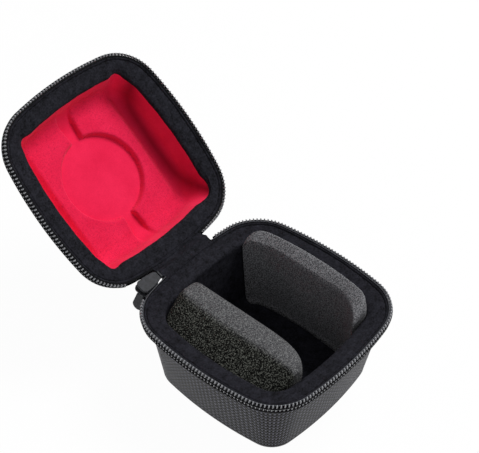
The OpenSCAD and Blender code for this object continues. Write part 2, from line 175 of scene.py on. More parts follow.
def outward(piece):
    """Merges doubles and points all faces outwards."""
    work = bmesh.new()
    work.from_mesh(piece.data)
    bmesh.ops.remove_doubles(work, verts=work.verts, dist=1e-6)
    bmesh.ops.recalc_face_normals(work, faces=work.faces)
    work.to_mesh(piece.data)
    work.free()
    return piece


def loft(name, points, m, s=None, t=None, closed=False, end_uvs=None, sharp_deg=40.0):
    """Faces between closed sections of m points; s and t are places along and round the cloth.

    Each open end is closed by a strip of quads from side to side, or by one face with end_uvs.
    """
    rows = len(points) // m
    faces, uvs = [], []
    for i in range(rows if closed else rows - 1):
        j = (i + 1) % rows
        for k in range(m):
            l = (k + 1) % m
            faces.append((i * m + k, j * m + k, j * m + l, i * m + l))
            if s is not None:
                uvs += [(s[i], t[k]), (s[i + 1], t[k]), (s[i + 1], t[k + 1]), (s[i], t[k + 1])]
    ends = [(k, k + 1, m - 2 - k, m - 1 - k) for k in range(m // 2 - 1)]
    if end_uvs is not None:
        ends = [tuple(range(m))]
    for i in () if closed else (0, rows - 1):
        faces += [tuple(i * m + v for v in end) for end in ends]
        if s is not None:
            uvs += [(0.0, 0.0) if end_uvs is None else tuple(end_uvs[v]) for end in ends for v in end]
    return finish_mesh(name, points, faces, uvs, sharp_deg)


def turned(y, z, angle=LID_TURN):
    """Turns places round the fold line, by the open lid's angle unless told otherwise."""
    return y * math.cos(angle) - z * math.sin(angle), y * math.sin(angle) + z * math.cos(angle)


def open_lid(points):
    """Turns points of the closed lid, with heights above the zip's middle, to the open lid."""
    y, z = turned(points[:, 1] - FOLD_Y, points[:, 2] + FOLD_DROP)
    return np.column_stack((points[:, 0], FOLD_Y + y, FOLD_Z + z))


def on_base(points):
    """Raises points whose heights count from the zip's middle onto the base."""
    return points + (0, 0, BASE_H)


def smooth(value):
    t = np.clip(value, 0, 1)
    return t * t * (3 - 2 * t)


made = {}  # each piece under the name of the CAD node that it stands for
print("helpers are ready")

# %% [markdown]
# ## The pressed pattern of the lid
# The mould presses four panels into the lid's top and leaves a raised round field with a band to the
# front and one to the back, like the watch inside. Outside, the panels lie lower, with soft slopes.
# Inside, the lining is drawn over a narrower disc and narrower bands, so the panels stand out as
# pillows with a crisp foot. Each face has its own height function.

# %% Pressed pattern
PANEL_DEPTH, DISC_R, BAND_HALF, SLOPE_W = 2.2, 22.5, 5.5, 4.5
PANEL_EDGE = CASE_W / 2 - SHELL_INSET - LID_DRAFT * (LID_H - LID_ROUND - RIM_Z) - LID_ROUND - 0.8
PILLOW_DEPTH, PILLOW_DISC_R, PILLOW_BAND, PILLOW_SLOPE, PILLOW_EDGE = 2.6, 19.6, 2.4, 1.7, 29.0


def pressed(x, y):
    """How deep the panels are pressed into the lid's top at a place, seen from outside."""
    return (PANEL_DEPTH * smooth((np.hypot(x, y) - DISC_R) / SLOPE_W)
            * smooth((np.abs(x) - BAND_HALF) / SLOPE_W)
            * smooth((PANEL_EDGE - np.abs(x)) / SLOPE_W))


def crisp(value):
    """Rises at once from a sharp foot and rounds over to the top."""
    return 1 - (1 - np.clip(value, 0, 1)) ** 2.6


def pillows(x, y):
    """How far the lining stands out there; its bands widen a little towards their ends."""
    band_half = PILLOW_BAND + 0.1 * np.maximum(0, np.abs(y) - 20)
    return (PILLOW_DEPTH * crisp((np.hypot(x, y) - PILLOW_DISC_R) / PILLOW_SLOPE)
            * crisp((np.abs(x) - band_half) / PILLOW_SLOPE)
            * smooth((PILLOW_EDGE - np.abs(x)) / SLOPE_W))


def shell(name, rings, count, place, flat_rings=0, shape=None):
    """A closed shell from rings of inset, height, scale, share of a pattern and the pattern.

    The first flat_rings rows, the scaled rings and the caps use a flat cloth map.
    """
    rim = outline(count)
    rows = []
    for ring in rings:
        inset, height, scale, share, *pattern = ring
        x, y = ((rim[:, k] - inset * rim[:, k + 2]) * scale for k in (0, 1))
        drop = share * pattern[0](x, y) if pattern else 0.0
        row = np.column_stack((x, y, height - drop + 0.0 * x))
        rows.append(shape(rim, row, ring) if shape else row)
    points = np.vstack(rows)
    steps = [np.median(np.linalg.norm(b - a, axis=1)) for a, b in zip(rows, rows[1:])]
    down = np.concatenate(([0], np.cumsum(steps)))
    s = np.append(rim[:, 4], RIM_LENGTH)
    faces, uvs = [], []
    for k in range(len(rows) - 1):
        flat = k < flat_rings or rings[k + 1][2] < 1
        for i in range(count):
            j = (i + 1) % count
            faces.append((k * count + j, (k + 1) * count + j, (k + 1) * count + i, k * count + i))
            uvs += ([tuple(points[v][:2]) for v in faces[-1]] if flat else
                    [(s[i + 1], down[k]), (s[i + 1], down[k + 1]), (s[i], down[k + 1]), (s[i], down[k])])
    for row in (0, len(rows) - 1):
        centre = rows[row].mean(axis=0)
        if rings[row][2] < 1:
            centre[2] = rings[row][1]
        points = np.vstack((points, centre))
        for i in range(count):
            face = (len(points) - 1, row * count + i, row * count + (i + 1) % count)
            faces.append(face if row else face[::-1])
            uvs += [tuple(points[v][:2]) for v in faces[-1]]
    return outward(finish_mesh(name, place(points), faces, uvs))


print("deepest press: %.2f mm" % pressed(np.array([24.0]), np.array([24.0]))[0])

# %% [markdown]
# ## The walls
# Each half is a laminate: woven nylon outside, stiff foam, and velvet inside, all pressed in one
# heated mould. All three are built with many more rings than the CAD solids have, because the eye
# follows their round edges. The foam is sealed in and never shows while the laminate is whole.

# %% Ring lists of the base and the lid
TOP_SCALES = [0.03 + 0.97 * t / 64 for t in range(64)]
THIRDS = (0.66, 0.33, 0)


def arc(steps):
    return np.radians(np.linspace(90, 0, steps))


def base_outer(into):
    foot = SHELL_INSET + BASE_DRAFT * (BASE_H - RIM_Z - BASE_ROUND)
    radius = BASE_ROUND - into
    turn = [(foot + BASE_ROUND - radius * math.cos(a), BASE_ROUND - radius * math.sin(a) - BASE_H, 1, 0)
            for a in arc(9)]
    return turn + [(SHELL_INSET + into + (foot - SHELL_INSET) * t,
                    -RIM_Z - (BASE_H - RIM_Z - BASE_ROUND) * t, 1, 0) for t in (0.75, 0.5, 0.25, 0)]


def base_inner(into):
    low, edge = FLOOR_T + MOUTH_ROUND, MOUTH_INSET - into
    foot = edge + 0.1 * (BASE_H - MOUTH_Z - low)
    radius = MOUTH_ROUND + into
    turn = [(foot + radius - radius * math.cos(a), low - radius * math.sin(a) - BASE_H, 1, 0)
            for a in arc(9)]
    return turn + [(edge + (foot - edge) * t, -MOUTH_Z - (BASE_H - MOUTH_Z - low) * t, 1, 0)
                   for t in THIRDS]


def lid_top(top, height, radius, middle, steps, pattern):
    """The lid's flat field and the round turn from it into the wall."""
    field = [(top, height, scale, 1, pattern) for scale in TOP_SCALES]
    return field + [(top - radius * math.cos(a), middle + radius * math.sin(a), 1,
                     math.degrees(a) / 90, pattern) for a in arc(steps)]


def lid_outer(into):
    high = LID_H - LID_ROUND
    head = SHELL_INSET + LID_DRAFT * (high - RIM_Z)
    rings = lid_top(head + LID_ROUND, LID_H - into, LID_ROUND - into, high, 12, pressed)
    return rings + [(SHELL_INSET + into + (head - SHELL_INSET) / 2, (high + RIM_Z) / 2, 1, 0),
                    (SHELL_INSET + into, RIM_Z, 1, 0)]


def lid_inner(into):
    high, edge = LID_H - TOP_T - LID_FILLET, MOUTH_INSET - into
    head = edge + 0.2 * (high - MOUTH_Z)
    radius = LID_FILLET + into
    rings = lid_top(head + radius, LID_H - TOP_T + into, radius, high, 16, pillows)
    return rings + [(edge + (head - edge) * t, MOUTH_Z + (high - MOUTH_Z) * t, 1, 0) for t in THIRDS]


# Each corner of the opening as (direction of its middle in degrees, pull in mm, width in degrees)
MOUTH_CORNERS = [(40, 3.9, 30), (122, 2.0, 17), (233, 2.0, 17), (298, 2.1, 18)]


def mouth_pull(rim):
    """The lid's opening is trimmed by hand: its corners come out sharper than the outline's."""
    angle = np.degrees(np.arctan2(rim[:, 3], rim[:, 2]))
    pull = sum(amount * np.exp(-(((angle - middle + 180) % 360 - 180) / width) ** 2)
               for middle, amount, width in MOUTH_CORNERS)
    return pull + 0.06 * np.sin(rim[:, 4] * 0.5) + 0.03 * np.sin(rim[:, 4] * 1.7 + 1)


def trimmed(rim, row, ring):
    """Pulls the lining's edge out at those corners, less and less down the wall."""
    share = np.clip(1 - (np.abs(ring[1]) - MOUTH_Z - 1.4) / 9, 0, 1) * mouth_pull(rim) * (ring[0] > 8.5)
    return row + np.column_stack((share * rim[:, 2], share * rim[:, 3], 0 * share))


# node, name of the piece, rings of its outer and its inner face, steps around, place, flat rows, shape
for node, name, outer, inner, around, place, flat_rings, shape in (
        ("base_cover", "base_woven_cover", base_outer(0), base_outer(COVER_T), 288, on_base, 4, None),
        ("base_lining", "base_velvet_lining", base_inner(LINING_T), base_inner(0), 288, on_base, 0, None),
        ("lid_cover", "lid_woven_cover", lid_outer(0), lid_outer(COVER_T), 288, open_lid, 70, None),
        ("lid_lining", "lid_velvet_lining", lid_inner(LINING_T), lid_inner(0), 360, open_lid, 0, trimmed),
        ("base_core", "base_foam_core", base_outer(COVER_T), base_inner(LINING_T), 288, on_base, 0, None),
        ("lid_core", "lid_foam_core", lid_outer(COVER_T), lid_inner(LINING_T), 360, open_lid, 0, trimmed)):
    made[node] = shell(name, outer + inner[::-1], around, place, flat_rings, shape)
print("shell faces:", {node: len(piece.data.polygons) for node, piece in made.items()})

# %% [markdown]
# ## The soft band on the rim
# Between the zip and the opening lies a wide band of black velvet over foam. It rises a little at the
# zip and rolls over into the opening. It is a lathe shape along the outline: one section, listed as
# insets and depths below the zip's middle, is carried all round and closed on itself.

# %% Bands along the outline
TOOTH_T, TAPE_T, TOOTH_H, MESH = 1.0, 0.9, 3.6, 0.5
TOOTH_LOW = TOOTH_H - MESH / 2
LEDGE = TOOTH_LOW + 0.9
TAPE_IN = TOOTH_T + TAPE_T
TAPE_DROP = 6.4
SEAM = TAPE_DROP - 0.9
BAND_TOP = RIM_Z - BAND_T
STITCH_IN = 2.9


def wall_at(draft, depth):
    return SHELL_INSET + draft * (depth - RIM_Z)


def soft_section(corners, radius, steps=4):
    """A closed section with its corners rounded off, as an array of its two coordinates."""
    out = []
    n = len(corners)
    for k in range(n):
        before, here, after = (np.array(corners[(k + d) % n], float) for d in (-1, 0, 1))
        r = radius if np.isscalar(radius) else radius[k]
        a, b = before - here, after - here
        cut = min(r, np.linalg.norm(a) * 0.45, np.linalg.norm(b) * 0.45)
        start, end = here + a / np.linalg.norm(a) * cut, here + b / np.linalg.norm(b) * cut
        out += [(1 - t) ** 2 * start + 2 * t * (1 - t) * here + t * t * end
                for t in np.linspace(0, 1, steps)]
    return np.array(out)


def rim_share(x, side):
    """Share of the outline at which the back is at x; side is -1 for the left, 1 for the right."""
    half = FINE[(FINE[:, 1] > 20) & ((FINE[:, 4] - RIM_LENGTH / 2) * side > 0)]
    return half[np.argmin(np.abs(half[:, 0] - x))][4] / RIM_LENGTH


def band(name, section, place, flip, first=0.0, last=1.0, shape=None, count=420):
    """Carries a section along the outline, all round or from one share of it to another."""
    rim = outline(count, first, last)
    insets, depths = section.T[:, None, :]
    if shape:
        insets, depths = shape(rim, insets, depths)
    insets, depths = (np.broadcast_to(v, (count, len(section))) for v in (insets, depths))
    points = np.stack((rim[:, :1] - insets * rim[:, 2:3], rim[:, 1:2] - insets * rim[:, 3:4],
                       depths if flip else -depths), axis=2).reshape(-1, 3)
    t = run(section)
    return outward(loft(name, place(points), len(section), np.append(rim[:, 4], RIM_LENGTH),
                        np.append(t, t[-1] + 0.3), last - first > 0.9999, section))


rim_corners = [(TAPE_IN, 2.2), (TAPE_IN, BAND_TOP - 0.45), (STITCH_IN - 0.35, BAND_TOP - 0.25),
               (STITCH_IN, BAND_TOP + 0.42), (STITCH_IN + 0.4, BAND_TOP + 0.12),
               (MOUTH_INSET - 1.9, MOUTH_Z - BAND_T),
               (MOUTH_INSET + 0.05, MOUTH_Z - 0.4), (MOUTH_INSET + 0.25, MOUTH_Z + 1.2),
               (MOUTH_INSET - 0.1, MOUTH_Z + 1.2), (MOUTH_INSET - LINING_T, MOUTH_Z),
               (SHELL_INSET + COVER_T, RIM_Z), (SHELL_INSET, RIM_Z)]
rim_section = soft_section(rim_corners, [0.1, 0.6, 0.15, 0.2, 0.3, 2.5, 0.8, 0.2, 0.1, 0.1, 0.1, 0.1])


def velvet_band(rim, inset, depth):
    """The band is padded by hand, so it swells and dips a little along its length."""
    s = rim[:, 4:5] / RIM_LENGTH * 2 * math.pi
    wave = 0.10 * np.sin(9 * s + 1.3) + 0.07 * np.sin(23 * s + 0.4) + 0.04 * np.sin(41 * s)
    top = smooth((depth < RIM_Z) * (inset > TAPE_IN + 0.2) * (inset < MOUTH_INSET + 0.2) * 1.0)
    return inset + 0 * s, depth + wave * top


def trimmed_band(rim, inset, depth):
    """The lid's band also follows the trimmed corners of its opening."""
    inset, depth = velvet_band(rim, inset, depth)
    return inset - smooth((inset - MOUTH_INSET + 4) / 3.5) * mouth_pull(rim)[:, None], depth


made["base_rim_band"] = band("base_rim_velvet", rim_section, on_base, False, shape=velvet_band)
made["lid_rim_band"] = band("lid_rim_velvet", rim_section, open_lid, True, shape=trimmed_band)
print("rim band: %.1f mm wide" % (MOUTH_INSET - TAPE_IN))

# %% [markdown]
# ## The zip's tapes
# Each row of teeth is sewn to a ribbed tape that stands up beside the rim and is folded under the
# shell's edge. The tapes stop at the hinge strip, one on each side. Where the slider waits, the tape
# gives way a little, as the cloth does there. Behind the teeth runs the cord that they are sewn to.

# %% Zip tapes
STRIP_GAP = 0.05
SLIDER_L, SLIDER_W, SLIDER_T, PLATE_T = 12.4, 7.4, 4.4, 0.9
SLIDER_END = -(STRIP_HALF + 1.4)
SLIDER_X = SLIDER_END - 0.1 - SLIDER_L / 2
# The room that the slider needs round the fold line: its radius at some places of x
RELIEF = ([-23.7, -19.5, -18.0, -17.1], [4.0, 3.6, 3.3, 2.85])
CORD_DEPTH, CORD_IN = 1.65, 0.17
ROW_START = rim_share(-31.0, -1)
ROW_END = {"base": rim_share(17.0, 1), "lid": rim_share(16.2, 1)}


def relief(rim, inset, depth, fold_depth):
    """Pushes what lies too near the parked slider inwards, off the fold line."""
    inset, depth = inset + 0 * rim[:, :1], depth + 0 * rim[:, :1]
    x, y = rim[:, :1], rim[:, 1:2] - inset * rim[:, 3:4]
    near = smooth((x + 38) / 4) * smooth((-STRIP_HALF - 1.8 - x) / 0.4) * smooth((y - 20) / 5)
    radius = np.interp(x, *RELIEF)
    reach = np.sqrt(np.maximum(radius ** 2 - (depth - fold_depth) ** 2, 0))
    inside = np.hypot(FOLD_Y - y, depth - fold_depth) < radius
    return inset + np.maximum(0, reach - (FOLD_Y - y)) * near * inside, depth


def merged(piece, other):
    """Adds another mesh to a piece."""
    work = bmesh.new()
    work.from_mesh(piece.data)
    work.from_mesh(other.data)
    work.to_mesh(piece.data)
    work.free()
    bpy.data.objects.remove(other)


def tape_section(draft):
    return soft_section([(wall_at(draft, TAPE_DROP), TAPE_DROP), (1.2, SEAM + 0.1), (0.3, LEDGE),
                         (0.3, TOOTH_LOW), (TOOTH_T, TOOTH_LOW), (TOOTH_T, 0.8), (TAPE_IN, 0.8),
                         (TAPE_IN, 2.2), (SHELL_INSET, RIM_Z)],
                        [0.1, 0.6, 0.4, 0.25, 0.1, 0.3, 0.3, 0.1, 0.1])


cord_section = np.array([(CORD_IN + 0.34 * math.cos(a), CORD_DEPTH + 0.5 * math.sin(a))
                         for a in np.linspace(0, 2 * math.pi, 10, endpoint=False)])
for half, draft, place, flip in (("base", BASE_DRAFT, on_base, False), ("lid", LID_DRAFT, open_lid, True)):
    tape = band(half + "_zip_tape_cloth", tape_section(draft), place, flip,
                rim_share(-STRIP_HALF - STRIP_GAP, -1), rim_share(STRIP_HALF + STRIP_GAP, 1),
                lambda rim, inset, depth: relief(rim, inset, depth, -FOLD_DROP if flip else FOLD_DROP))
    merged(tape, band("cord", cord_section, place, flip, ROW_START, ROW_END[half]))
    made[half + "_zip_tape"] = tape
tape_line = tape_section(BASE_DRAFT)
at_top = run(tape_line)[(tape_line[:, 1] < 0.85) & (tape_line[:, 0] > TOOTH_T)]
SELVEDGE = (at_top[0] - 0.05, at_top[-1] - 0.2)
print("tape faces:", len(tape.data.polygons))

# %% [markdown]
# ## The coil of the zip
# A nylon coil is one thick monofilament wound round, so from outside it shows slanted loops and at
# its edge round noses that catch the other row. One loop is modelled as a bent tube of few faces.
# Geometry Nodes then sets it along the rim, because hundreds of copies follow one path at one pitch.

# %% One loop, and a node tree that repeats a shape along a path
TOOTH_PITCH, COIL_WIRE_R = 1.7, 0.32


def tube_mesh(name, path, radius, sides=6, beside=(0.0, 1.0, 0.001)):
    """A tube with closed ends along a path in millimetres; beside is never along the path."""
    path = np.asarray(path, float)
    points = []
    for centre, tangent in zip(path, np.gradient(path, axis=0)):
        tangent = tangent / np.linalg.norm(tangent)
        side = np.cross(tangent, beside)
        side /= np.linalg.norm(side)
        up = np.cross(side, tangent)
        for a in np.arange(sides) * 2 * math.pi / sides:
            points.append(centre + radius * (math.cos(a) * side + math.sin(a) * up))
    return outward(loft(name, points, sides, end_uvs=(), sharp_deg=70))


# x points out of the case, y along the zip and z towards the other row; the nose is the highest
loop_path = [(-0.85, 0.34, -3.1), (-0.86, 0.1, -1.4), (-0.82, 0.0, -0.35), (-0.6, 0.0, 0.0),
             (-0.36, 0.02, -0.2), (-0.3, -0.12, -1.0), (-0.3, -0.34, -2.1), (-0.42, -0.5, -3.1)]
coil_loop = tube_mesh("coil_loop", [(x, y, z + MESH / 2 - COIL_WIRE_R) for x, y, z in loop_path],
                      COIL_WIRE_R)


def add_node(tree, kind, links=(), **settings):
    """One node with its settings; links are (input name or number, socket or value) pairs."""
    node = tree.nodes.new(kind)
    for key, value in settings.items():
        setattr(node, key, value)
    for key, value in links:
        if isinstance(value, bpy.types.NodeSocket):
            tree.links.new(value, node.inputs[key])
        else:
            node.inputs[key].default_value = value
    return node


def repeat_tree():
    """Copies a shape to the points of a path mesh, turned by the path's own turn attribute."""
    tree = bpy.data.node_groups.new("repeat_along_path", "GeometryNodeTree")
    for name, kind in (("Path", "Geometry"), ("Shape", "Object"), ("Size", "Float"), ("Finish", "Material")):
        tree.interface.new_socket(name, in_out="INPUT", socket_type="NodeSocket" + kind)
    tree.interface.new_socket("Copies", in_out="OUTPUT", socket_type="NodeSocketGeometry")
    given = tree.nodes.new("NodeGroupInput").outputs
    turn = add_node(tree, "GeometryNodeInputNamedAttribute", [("Name", "turn")], data_type="FLOAT_VECTOR")
    rotation = add_node(tree, "FunctionNodeEulerToRotation", [(0, turn.outputs[0])])
    source = add_node(tree, "GeometryNodeObjectInfo", [("Object", given["Shape"])])
    copies = add_node(tree, "GeometryNodeInstanceOnPoints", [
        ("Points", given["Path"]), ("Instance", source.outputs["Geometry"]),
        ("Rotation", rotation.outputs[0]), ("Scale", given["Size"])])
    solid = add_node(tree, "GeometryNodeRealizeInstances", [(0, copies.outputs[0])])
    finish = add_node(tree, "GeometryNodeSetMaterial", [
        ("Geometry", solid.outputs[0]), ("Material", given["Finish"])])
    tree.links.new(finish.outputs[0], tree.nodes.new("NodeGroupOutput").inputs[0])
    return tree


REPEAT = repeat_tree()


def plain_mesh(thing, name):
    """Keeps what an object's modifiers make as a plain mesh, and drops the object."""
    graph = bpy.context.evaluated_depsgraph_get()
    mesh = bpy.data.meshes.new_from_object(thing.evaluated_get(graph), depsgraph=graph)
    bpy.data.objects.remove(thing)
    mesh.name = name
    mesh.shade_smooth()
    return linked(name, mesh)


def repeated(name, points, turns, shape, finish, size=1.0):
    """Runs the tree on a path of points, in metres."""
    mesh = bpy.data.meshes.new(name + "_path")
    mesh.from_pydata(np.asarray(points).tolist(), [], [])
    turn = mesh.attributes.new("turn", "FLOAT_VECTOR", "POINT")
    turn.data.foreach_set("vector", np.asarray(turns, dtype=np.float32).ravel())
    path = linked(name + "_path", mesh)
    modifier = path.modifiers.new("repeat", "NODES")
    modifier.node_group = REPEAT
    sockets = {s.name: s.identifier for s in REPEAT.interface.items_tree if s.in_out == "INPUT"}
    for key, value in (("Shape", shape), ("Size", size), ("Finish", finish)):
        modifier[sockets[key]] = value
    return plain_mesh(path, name)


def rim_path(inset, depth, pitch, first, last, flip, place, shift):
    """Places and turns along the rim on one even grid; x points outwards and z towards the zip."""
    count = int(round(RIM_LENGTH / pitch))
    rows = outline(count, shift / count, 1 + shift / count)
    rows = rows[(rows[:, 4] > first * RIM_LENGTH) & (rows[:, 4] < last * RIM_LENGTH)]
    points = np.column_stack((rows[:, 0] - inset * rows[:, 2], rows[:, 1] - inset * rows[:, 3],
                              np.full(len(rows), depth if flip else -depth)))
    turns = []
    for row in rows:
        out, up = Vector((row[2], row[3], 0)), Vector((0, 0, -1 if flip else 1))
        basis = Matrix((out, up.cross(out), up)).transposed()
        if flip:
            basis = Matrix.Rotation(LID_TURN, 3, "X") @ basis
        turns.append(tuple(basis.to_euler("XYZ")))
    return place(points) * MM, turns


print("loop faces:", len(coil_loop.data.polygons))

# %% [markdown]
# ## Finishes
# Every finish is a small node tree that starts from what the real material is. Colours are written
# as the sRGB hex values that one would pick from a swatch, and one function turns them to the linear
# values that the shader needs.

# %% Colour and node helpers


def hex_colour(code):
    """sRGB hex to linear RGBA."""
    values = [int(code[k:k + 2], 16) / 255 for k in (1, 3, 5)]
    return tuple(v / 12.92 if v <= 0.04045 else ((v + 0.055) / 1.055) ** 2.4 for v in values) + (1.0,)


def new_finish(name, colour, roughness, **sockets):
    """A material with its Principled shader set up; returns the material, its tree and shader."""
    material = bpy.data.materials.new(name)
    material.use_nodes = True
    material.diffuse_color = hex_colour(colour)
    tree = material.node_tree
    shader = tree.nodes["Principled BSDF"]
    shader.inputs["Base Color"].default_value = hex_colour(colour)
    shader.inputs["Roughness"].default_value = roughness
    for key, value in sockets.items():
        shader.inputs[key.replace("_", " ")].default_value = value
    return material, tree, shader


def maths(tree, operation, *values):
    return add_node(tree, "ShaderNodeMath", list(enumerate(values)), operation=operation).outputs[0]


def plus(tree, a, b):
    return maths(tree, "ADD", a, b)


def times(tree, a, b):
    return maths(tree, "MULTIPLY", a, b)


def ribs(tree, way, pitch_mm):
    """Round ribs across a way in millimetres."""
    return maths(tree, "ABSOLUTE", maths(tree, "SINE", times(tree, way, math.pi / pitch_mm)))


def spread(tree, value, low, high):
    """Stretches a value, so that low gives 0 and high gives 1."""
    return add_node(tree, "ShaderNodeMapRange", [(0, value), (1, low), (2, high)]).outputs[0]


def stored(tree, name):
    """A number that is stored at the points of the mesh."""
    return add_node(tree, "ShaderNodeAttribute", attribute_name=name).outputs["Fac"]


def blend_colours(tree, share, a, b):
    """Mixes two colours, given as hex codes or sockets."""
    a, b = (hex_colour(c) if isinstance(c, str) else c for c in (a, b))
    return add_node(tree, "ShaderNodeMix", [(0, share), (6, a), (7, b)], data_type="RGBA").outputs[2]


def object_noise(tree, size_mm, detail=2.0, rough=0.5):
    """A noise in the piece's own space, whose grains are about size_mm across."""
    place = tree.nodes.new("ShaderNodeTexCoord").outputs["Object"]
    return add_node(tree, "ShaderNodeTexNoise", [("Vector", place), ("Scale", 1 / (size_mm * MM)),
                                                 ("Detail", detail), ("Roughness", rough)]).outputs[0]


def cloth_place(tree):
    """The unrolled cloth in millimetres, as separate u and v sockets."""
    uv = add_node(tree, "ShaderNodeUVMap", uv_map="cloth_mm").outputs[0]
    return add_node(tree, "ShaderNodeSeparateXYZ", [(0, uv)]).outputs[:2]


def surface(tree, shader, colour, height, depth_mm, strength):
    """Gives the shader its colour socket, and its relief from a height."""
    tree.links.new(colour, shader.inputs["Base Color"])
    bump = add_node(tree, "ShaderNodeBump", [("Strength", strength), ("Distance", depth_mm * MM),
                                             ("Height", height)])
    tree.links.new(bump.outputs[0], shader.inputs["Normal"])


def store(piece, name, values):
    """Stores a number at each point of a piece, for its finish to read."""
    layer = piece.data.attributes.new(name, "FLOAT", "POINT")
    layer.data.foreach_set("value", np.asarray(values, dtype=np.float32))


print("finish helpers are ready")

# %% [markdown]
# ### Woven nylon
# The cover is ballistic nylon: bundles of thick yarn in a basket weave, laid at 45 degrees and
# polished flat by the mould. The pattern comes from the cloth map: each bundle is round across and
# dips where the other set lies on top. Its colour has painted shade in the dips and a painted
# highlight on the bundle tops, stronger on one set, as if the light caught it more.

# %% Woven nylon finish
# Drawn coarser than the real yarn, so that the weave shows from a step away
BUNDLE_MM = 1.7


def woven_nylon():
    material, tree, shader = new_finish("ballistic_nylon_cloth", "#2a2a30", 0.4, Specular_IOR_Level=0.12)
    u, v = cloth_place(tree)
    diagonal = 1 / (BUNDLE_MM * math.sqrt(2))
    a = times(tree, plus(tree, u, v), diagonal)
    b = times(tree, maths(tree, "SUBTRACT", u, v), diagonal)

    def bundle(along, across, side):
        """A bundle is round across and rises and dips with every bundle that it crosses."""
        f = maths(tree, "FRACT", across)
        round_top = maths(tree, "SQRT", times(tree, times(tree, f, maths(tree, "SUBTRACT", 1.0, f)), 4.0))
        parity = times(tree, maths(tree, "FLOOR", across), math.pi)
        wave = maths(tree, "SINE", plus(tree, times(tree, along, math.pi), parity))
        return times(tree, round_top, plus(tree, 0.58, times(tree, wave, 0.42 * side)))

    warp, weft = bundle(a, b, 1), bundle(b, a, -1)
    # Painted shade and highlight: dark between the bundles, light on their tops, the weft painted darker than
    # the warp
    painted_bundle_light = maths(tree, "POWER", maths(tree, "MAXIMUM", warp, times(tree, weft, 0.5)), 4.0)
    wear = plus(tree, 0.75, times(tree, object_noise(tree, 9.0, 3.0), 0.4))
    surface(tree, shader, blend_colours(tree, times(tree, painted_bundle_light, wear), "#010102", "#787885"),
            maths(tree, "MAXIMUM", warp, weft), 0.55, 1.0)
    return material


NYLON = woven_nylon()
print("bundle of yarn: %.2f mm" % BUNDLE_MM)

# %% [markdown]
# ### Velvet
# The lining is a short pile. Pile scatters light towards grazing angles, which the sheen does, and it
# lies this way and that, so large soft patches are lighter or darker. The press crushed the red pile
# on the panels, which left a fine, rough grain there; the round field and the bands stayed smooth.
# The colour is painted darker in the pits of that grain, along the feet of the panels and at the foot of the
# wall at +X: painted shade, where these hollows lie in shadow.

# %% Velvet finishes


def velvet(name, low, high, tint, sheen, patch_mm, patch_depth, grain_mm=0.5):
    material, tree, shader = new_finish(name, high, 0.85, Sheen_Weight=sheen, Sheen_Roughness=0.45,
                                        Sheen_Tint=hex_colour(tint), Specular_IOR_Level=0.08)
    pile = object_noise(tree, grain_mm, 2.0, 0.7)
    share = plus(tree, times(tree, object_noise(tree, patch_mm, 3.0, 0.6), patch_depth),
                 times(tree, pile, 1 - patch_depth))
    surface(tree, shader, blend_colours(tree, spread(tree, share, 0.34, 0.66), low, high), pile, 0.12, 0.6)
    return material, tree, shader


def crushed_red_velvet():
    material, tree, shader = velvet("crimson_velvet_pile", "#e01c46", "#f32a55", "#ff8aa4", 0.25, 14.0, 0.6)
    press = stored(tree, "press")
    grain = object_noise(tree, 0.9, 4.0, 0.85)
    plain = shader.inputs["Base Color"].links[0].from_socket
    # Painted shade: the stored fold value darkens the colour at the foot of the wall at +X and along the feet of
    # the pillows
    colour_with_painted_shade = blend_colours(tree, stored(tree, "fold"), plain, "#6a0014")
    # Painted shade in the pits of the crushed grain
    painted_pit_shade = times(tree, times(tree, spread(tree, grain, 0.5, 0.3), press), 0.5)
    height = plus(tree, times(tree, object_noise(tree, 0.5, 2.0, 0.7), 0.15), times(tree, grain, press))
    surface(tree, shader, blend_colours(tree, painted_pit_shade, colour_with_painted_shade, "#a30a2c"), height, 0.7, 0.6)
    return material


def write_press(piece):
    """Stores on the lid's lining, from 0 to 1, its pressed pattern and its painted shade: darkest at the foot of
    the wall at +X and along the feet of the pillows.
    """
    points = np.array([v.co for v in piece.data.vertices]) / MM
    y, z = turned(points[:, 1] - FOLD_Y, points[:, 2] - FOLD_Z, -LID_TURN)
    across, height = FOLD_Y + y, z - FOLD_DROP
    rise = pillows(points[:, 0], across) / PILLOW_DEPTH
    store(piece, "press", rise * smooth((height - MOUTH_Z - 4) / 4))
    # Painted shade at the foot of the wall at +X, which faces away from the key lamp, fading up the wall
    past_foot = points[:, 0] - 31.3 - 0.01 * np.maximum(0, np.abs(across) - 15) ** 2
    fold = 0.75 * np.clip((past_foot + 6) / 6, 0, 1) ** 2 * (1 - 0.8 * smooth(past_foot / 3.0))
    # Painted shade along the feet of the pillows
    painted_pillow_foot_shade = 0.3 * smooth(rise / 0.06) * smooth((0.55 - rise) / 0.5) * (np.abs(points[:, 0]) < 24)
    store(piece, "fold", np.maximum(fold, painted_pillow_foot_shade))


write_press(made["lid_lining"])
BLACK_VELVET = velvet("black_velvet_pile", "#020203", "#292930", "#50505c", 0.04, 3.0, 0.45, 0.8)[0]
RED_VELVET = crushed_red_velvet()
print("velvets:", BLACK_VELVET.name, RED_VELVET.name)

# %% [markdown]
# ### Foam, tape, nylon coil, thread and metal
# The cushions are bare open-cell foam, whose open pores show as dark and light specks. The left one
# is coloured darker, with sparser light specks, most of all on its side by the wall: painted shade,
# as that side faces away from the key lamp. The tape is ribbed polyester, the coil a slightly shiny
# monofilament drawn light grey as painted highlight, and the slider is die-cast metal under dark enamel.

# %% The other finishes


